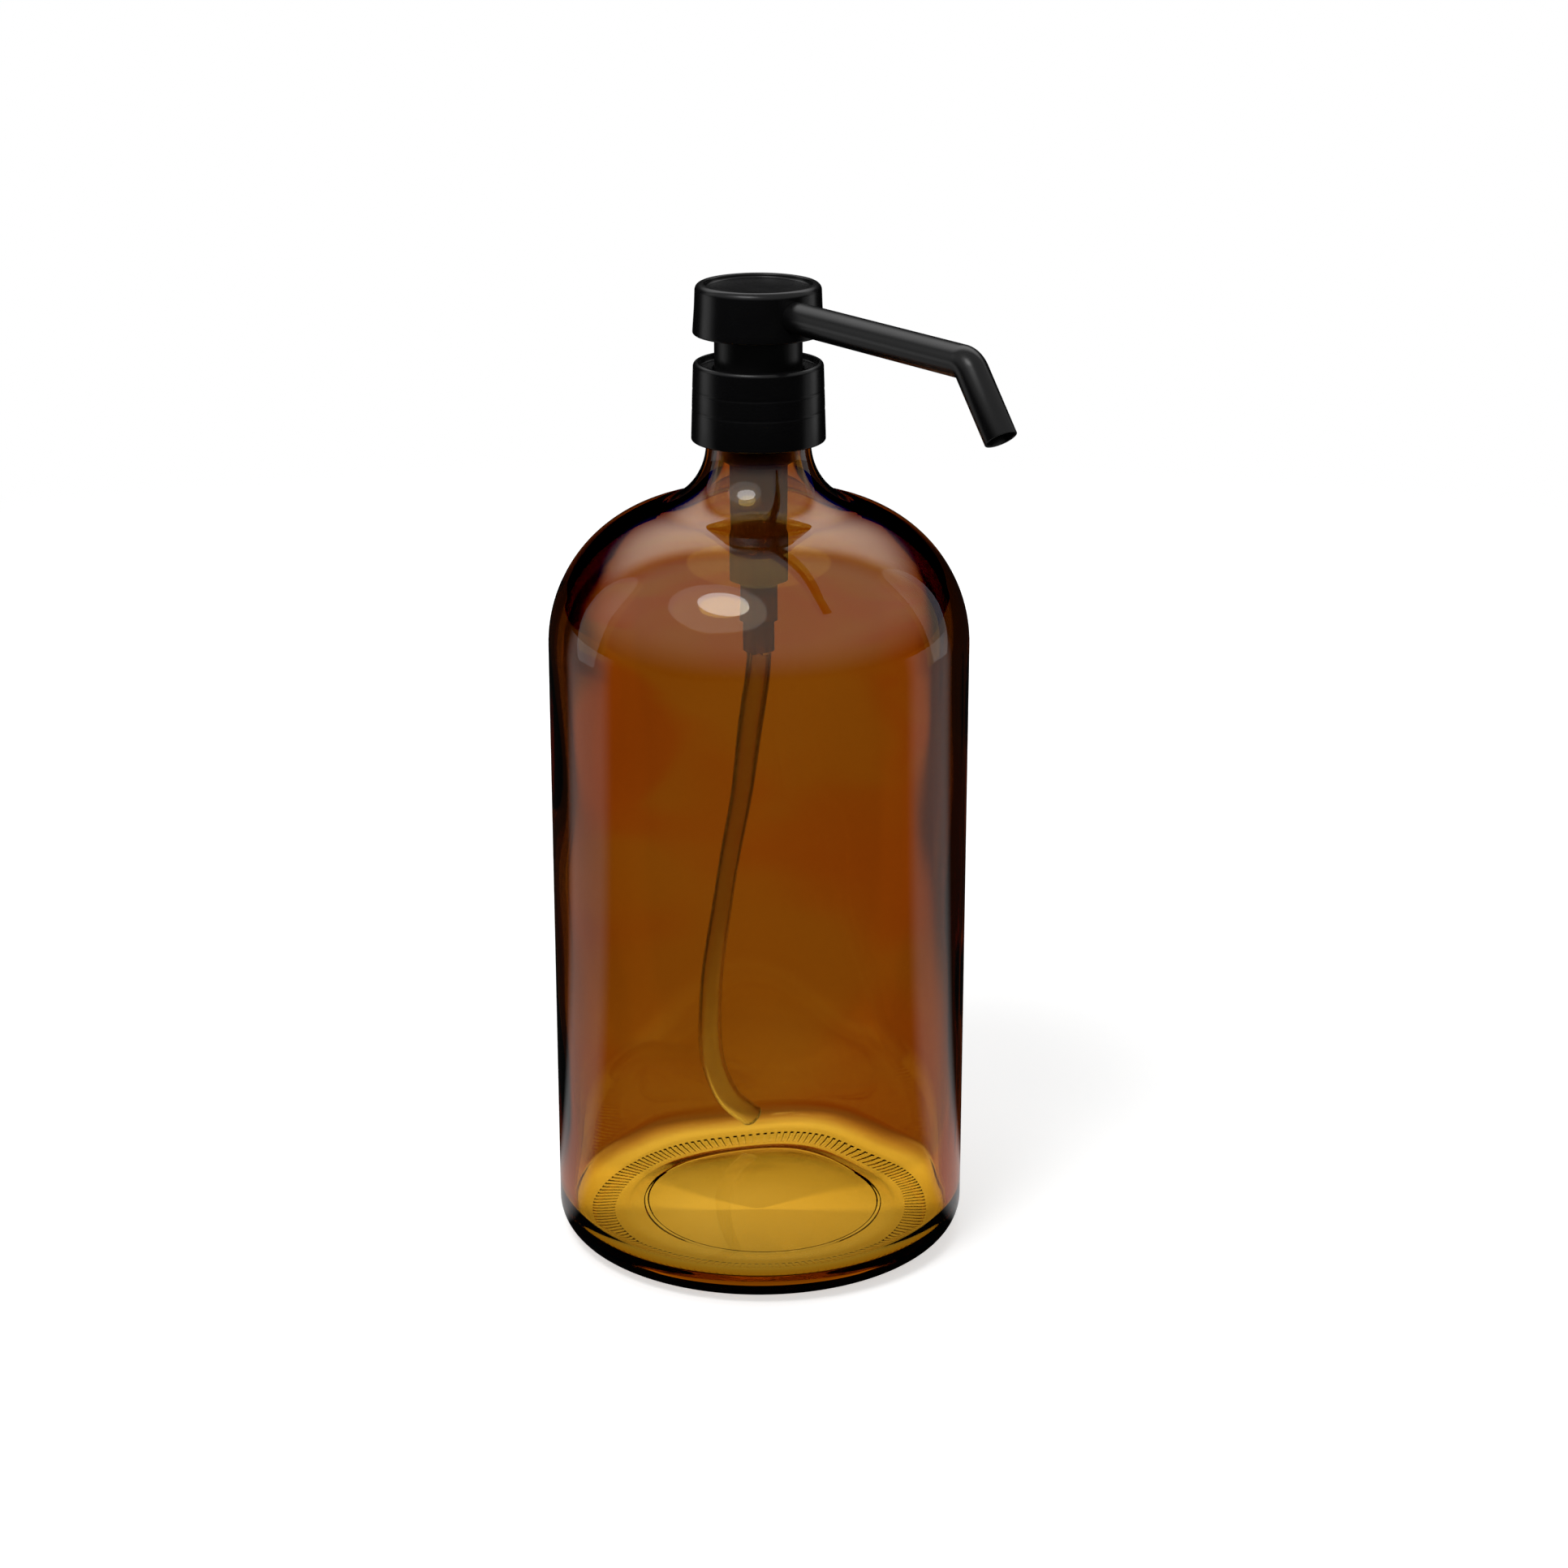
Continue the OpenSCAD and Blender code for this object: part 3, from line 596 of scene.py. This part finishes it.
coil_r = (spring_d - wire_d) / 2
coil = []
for i in range(spring_turns * coil_sides + 1):
    a = 2 * pi * i / coil_sides
    coil.append((coil_r * cos(a), coil_r * sin(a), spring_low.z + wire_d / 2 + coil_rise(i / coil_sides)))
spring = pipe_along("spring", coil, wire_d / 2 * 0.99, 16)
smooth(spring, 50)
wire, nodes, links, shader = new_material("spring_steel")
drifting(nodes, links, shader, (0.6, 0.6, 0.62), 0.1, 0.25, 0.1, 300, 3000, bump=0.2)
shader.inputs["Metallic"].default_value = 1
wear(spring, wire)
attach(spring, "pump_unit")
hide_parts("return_spring")
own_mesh(spring)

# ---- Dip tube ----
# Extruded polyethylene tube, clear with a slight haze, pushed into the housing's socket. It
# keeps the curve of the coil it came from and ends low at the back of the floor.
tube_r = 2.65 * mm
tube_wall = 0.7 * mm
tube_bends = [(-1.8, 0, 128), (-5.85, -0.68, 110), (-10.58, -1.22, 90), (-15.53, -1.22, 70),
              (-20.7, 0.23, 50), (-25.43, 4.05, 33), (-29.03, 10.8, 19), (-31.28, 18.9, 10.5)]
tube_in_socket = 7 * mm
tube_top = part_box("dip_tube")[1].z
socket_z = tube_top - tube_in_socket
route = [(0, 0, tube_top), (0, 0, (tube_top + socket_z) / 2), (0, 0, socket_z),
         (0, 0, socket_z - tube_r)] + [(x * mm, y * mm, z * mm) for x, y, z in tube_bends]


def smooth_route(points, spans):
    """A smooth line through the points, with a number of spans between each two."""
    p = [Vector(q) for q in points]
    line_points = []
    for i in range(len(p) - 1):
        a, b, c, d = p[max(i - 1, 0)], p[i], p[i + 1], p[min(i + 2, len(p) - 1)]
        for k in range(spans):
            t = k / spans
            line_points.append(0.5 * (2 * b + (c - a) * t + (2 * a - 5 * b + 4 * c - d) * t ** 2
                                      + (3 * b - a - 3 * c + d) * t ** 3))
    return line_points + [p[-1]]


dip_tube = pipe_along("dip_tube_visual", smooth_route(route, 12), tube_r, 32)
pick(dip_tube, "FACE", [face.index for face in dip_tube.data.polygons if len(face.vertices) > 4])
bpy.ops.mesh.delete(type="ONLY_FACE")
bpy.ops.mesh.select_all(action="SELECT")
bpy.ops.mesh.remove_doubles(threshold=0.002 * mm)
bpy.ops.mesh.normals_make_consistent(inside=False)
bpy.ops.object.mode_set(mode="OBJECT")
wall = dip_tube.modifiers.new("wall", "SOLIDIFY")
wall.thickness = tube_wall
wall.offset = -1
apply_all(dip_tube)
smooth(dip_tube)
hazy, nodes, links, shader = new_material("clear_tube")
drifting(nodes, links, shader, (0.93, 0.9, 0.84), 0.04, 0.1, 0.05, 80, 900)
shader.inputs["Transmission Weight"].default_value = 0.92
shader.inputs["IOR"].default_value = 1.5
wear(dip_tube, hazy)
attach(dip_tube, "pump_unit")
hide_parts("dip_tube")

# ---- Studio ----
# A white table that runs off into a white background. A soft-edged key lamp stands above
# the camera's left, with a weak tall panel on each side and a large lamp overhead. Through
# the glass the table is bright close to the bottle and brown in the bottle's shade behind it.
azimuth = radians(54.5)
toward = Vector((sin(azimuth), -cos(azimuth), 0))
right = Vector((cos(azimuth), sin(azimuth), 0))
up = Vector((0, 0, 1))
floor_size = 12
floor_drop = 0.3 * mm
table_white = 0.7
dark_room = 0.02

# Light on the table by where it is: near the bottle, far off, and beside it for reflections.
near_glow = 0.6
near_span = (0.15, 0.4)
distant_span = (0.4, 0.8)
side_light = 0.42
side_opens = (-0.15, 0.05)
side_closes = (0.45, 0.7)
reflection_loss = 0.99

# The pool of light under the bottle, brighter toward its back.
pool_span = (0.047, 0.06)
pool_tilt = (-0.04, 0.03)
pool_front = 0.6
pool_light = 1.5

# The brown shade behind the bottle, which dies away to both sides and in front.
shade_light = 0.35
shade_colour = (1.0, 0.29, 0.05)
shade_gold = (1.0, 0.41, 0.08)
shade_edge = (0.036, 0.078)
shade_spread = -0.14
shade_start = (-0.05, 0.03)
shade_front = 0.3
mottle_span = (0.4, 0.62)

bpy.ops.object.select_all(action="DESELECT")
bpy.ops.mesh.primitive_plane_add(size=floor_size, location=(0, 0, -floor_drop))
floor = name_new("floor")
paper, nodes, links, shader = new_material("white_table")
shader.inputs["Roughness"].default_value = 0.9
shader.inputs["Specular IOR Level"].default_value = 0
seen = nodes.new("ShaderNodeLightPath")
place = nodes.new("ShaderNodeTexCoord")


def fade(value, span, at_low, at_high):
    """A smooth step from one value to another, as a socket passes from low to high in a span."""
    node = nodes.new("ShaderNodeMapRange")
    node.interpolation_type = "SMOOTHSTEP"
    links.new(value, node.inputs["Value"])
    for name, number in zip(("From Min", "From Max", "To Min", "To Max"), (*span, at_low, at_high)):
        node.inputs[name].default_value = number
    return node.outputs[0]


def along(direction):
    """Distance over the table from the bottle's axis along a direction."""
    node = nodes.new("ShaderNodeVectorMath")
    node.operation = "DOT_PRODUCT"
    links.new(place.outputs["Object"], node.inputs[0])
    node.inputs[1].default_value = direction
    return node.outputs["Value"]


def blend(share, first, second):
    """A colour mixed from two; each input is a socket or a value. Returns its output."""
    node = nodes.new("ShaderNodeMix")
    node.data_type = "RGBA"
    for index, value in ((0, share), (6, first), (7, second)):
        if isinstance(value, bpy.types.NodeSocket):
            links.new(value, node.inputs[index])
        else:
            node.inputs[index].default_value = value
    return node.outputs[2]


white = (1, 1, 1, 1)
black = (0, 0, 0, 1)
far = nodes.new("ShaderNodeVectorMath")
far.operation = "LENGTH"
links.new(place.outputs["Object"], far.inputs[0])
behind = along(-toward)
aside = maths("ABSOLUTE", along(right), 0)
edge = maths("MULTIPLY_ADD", behind, shade_spread, aside)
shade = maths("MULTIPLY", fade(edge, shade_edge, shade_light, dark_room),
              fade(behind, shade_start, shade_front, 1))
under = fade(far.outputs["Value"], pool_span, 1, 0)
pool = maths("MULTIPLY", fade(behind, pool_tilt, pool_front, pool_light), under)
mottle = nodes.new("ShaderNodeTexNoise")
mottle.inputs["Scale"].default_value = 7
mottle.inputs["Detail"].default_value = 2
links.new(place.outputs["Object"], mottle.inputs["Vector"])
brown = blend(fade(mottle.outputs["Fac"], mottle_span, 0, 1), (*shade_colour, 1), (*shade_gold, 1))
through = blend(under, brown, white)
distant = fade(far.outputs["Value"], distant_span, 0, 1)
rising = fade(far.outputs["Value"], near_span, near_glow, 1)
beside = maths("DIVIDE", behind, maths("MAXIMUM", aside, 0.001))
band = maths("MULTIPLY", fade(beside, side_opens, 0, side_light), fade(beside, side_closes, 1, 0))
glow = maths("MULTIPLY_ADD", seen.outputs["Is Glossy Ray"], band,
             maths("MULTIPLY", seen.outputs["Is Camera Ray"], rising))
passed = maths("MULTIPLY", seen.outputs["Is Transmission Ray"], maths("MAXIMUM", pool, shade))
lit = blend(maths("SUBTRACT", 1, seen.outputs["Is Transmission Ray"]), through, white)
links.new(lit, shader.inputs["Emission Color"])
links.new(maths("ADD", glow, passed), shader.inputs["Emission Strength"])
mirrored = maths("MULTIPLY", seen.outputs["Is Glossy Ray"], reflection_loss)
unlit = maths("MAXIMUM", seen.outputs["Is Transmission Ray"], mirrored)
hidden = maths("MAXIMUM", unlit, maths("MULTIPLY", seen.outputs["Is Camera Ray"], distant))
links.new(blend(hidden, (table_white, table_white, table_white, 1), black), shader.inputs["Base Color"])
wear(floor, paper)

# The room: white where the camera sees it, dark through the glass, and in reflections bright
# in front and high up behind.
room = 0.22
front_light = 0.7
front_least = 0.02
front_facing = (-0.45, -0.1)
front_height = (-0.02, 0.5)
back_light = 2.0
back_facing = (-0.5, -0.3)
back_height = (0.35, 0.75)

world = bpy.data.worlds.new("studio")
bpy.context.scene.world = world
world.use_nodes = True
nodes, links = world.node_tree.nodes, world.node_tree.links
sky = nodes["Background"]
sky.inputs["Color"].default_value = white
seen = nodes.new("ShaderNodeLightPath")
place = nodes.new("ShaderNodeTexCoord")
facing = nodes.new("ShaderNodeVectorMath")
facing.operation = "DOT_PRODUCT"
links.new(place.outputs["Generated"], facing.inputs[0])
facing.inputs[1].default_value = toward
height = nodes.new("ShaderNodeSeparateXYZ")
links.new(place.outputs["Generated"], height.inputs[0])
front = maths("MULTIPLY", fade(facing.outputs["Value"], front_facing, front_least, front_light),
              fade(height.outputs["Z"], front_height, 0, 1))
back = maths("MULTIPLY", fade(facing.outputs["Value"], back_facing, back_light, 0),
             fade(height.outputs["Z"], back_height, 0, 1))
around_it = maths("SUBTRACT", maths("ADD", front, back), room)
polish = maths("MULTIPLY", seen.outputs["Is Glossy Ray"], around_it)
passing = maths("MULTIPLY", seen.outputs["Is Transmission Ray"], dark_room - room)
straight = maths("MULTIPLY_ADD", seen.outputs["Is Camera Ray"], 1 - room, room)
links.new(maths("ADD", maths("ADD", polish, passing), straight), sky.inputs["Strength"])

# Lamps: their sizes in metres and their power in watts. The key and its skirt are stacks of
# ellipses, so that their reflections fade out at the edge.
lamp_aim = Vector((0, 0, 0.12))
lamps_round = Vector((0, 0, 0.15))
key_sizes = (0.44, 0.35, 0.26, 0.17)
key_flatness = 0.7
key_power = 10
skirt_sizes = (0.95, 0.85, 0.74, 0.63, 0.52, 0.4)
skirt_flatness = 0.74
skirt_power = 1.46
panel_size = (0.3, 0.9)
panel_power = 0.3
overhead_size = (1.0, 1.0)
overhead_power = 3.5


def soft_lamp(name, place, size, power):
    """A round-edged soft box that points at the object."""
    bpy.ops.object.select_all(action="DESELECT")
    bpy.ops.object.light_add(type="AREA", location=place)
    lamp = name_new(name)
    lamp.data.shape = "ELLIPSE"
    lamp.data.size, lamp.data.size_y = size
    lamp.data.energy = power
    lamp.rotation_euler = (lamp_aim - place).to_track_quat("-Z", "Y").to_euler()
    return lamp


def around(turned, raised, away):
    """A place round the object: turned to the camera's right, and raised, in degrees."""
    level = cos(radians(raised))
    flat = cos(radians(turned)) * toward + sin(radians(turned)) * right
    return away * (level * flat + sin(radians(raised)) * up) + lamps_round


for size in key_sizes:
    soft_lamp("key", around(-30, 56, 1.0), (size, key_flatness * size), key_power * size ** 2)
for size in skirt_sizes:
    soft_lamp("key_skirt", around(-33, 52, 1.05), (size, skirt_flatness * size), skirt_power * size ** 2)
soft_lamp("left_panel", around(-104, 12, 0.8), panel_size, panel_power)
soft_lamp("right_panel", around(112, 12, 0.8), panel_size, panel_power)
overhead = soft_lamp("overhead", around(180, 80, 1.1), overhead_size, overhead_power)
overhead.visible_glossy = False

# ---- Camera ----
# A long lens at a little over the bottle's height, looking down on it past the spout.
camera_away = 0.750
camera_h = 0.362
aim_h = 0.1096
aim_right = 0.0057
lens = 78.5
film_w = 36

camera_data = bpy.data.cameras.new("camera")
camera_data.lens = lens
camera_data.sensor_width = film_w
camera_data.clip_start = 0.01
camera = bpy.data.objects.new("camera", camera_data)
bpy.context.scene.collection.objects.link(camera)
camera.location = camera_away * toward + camera_h * up
aim = aim_right * right + aim_h * up
camera.rotation_euler = (aim - camera.location).to_track_quat("-Z", "Y").to_euler()
bpy.context.scene.camera = camera

scene = bpy.context.scene
scene.view_settings.view_transform = "Standard"
scene.cycles.max_bounces = 24
scene.cycles.transmission_bounces = 24
scene.cycles.glossy_bounces = 8
scene.cycles.transparent_max_bounces = 12
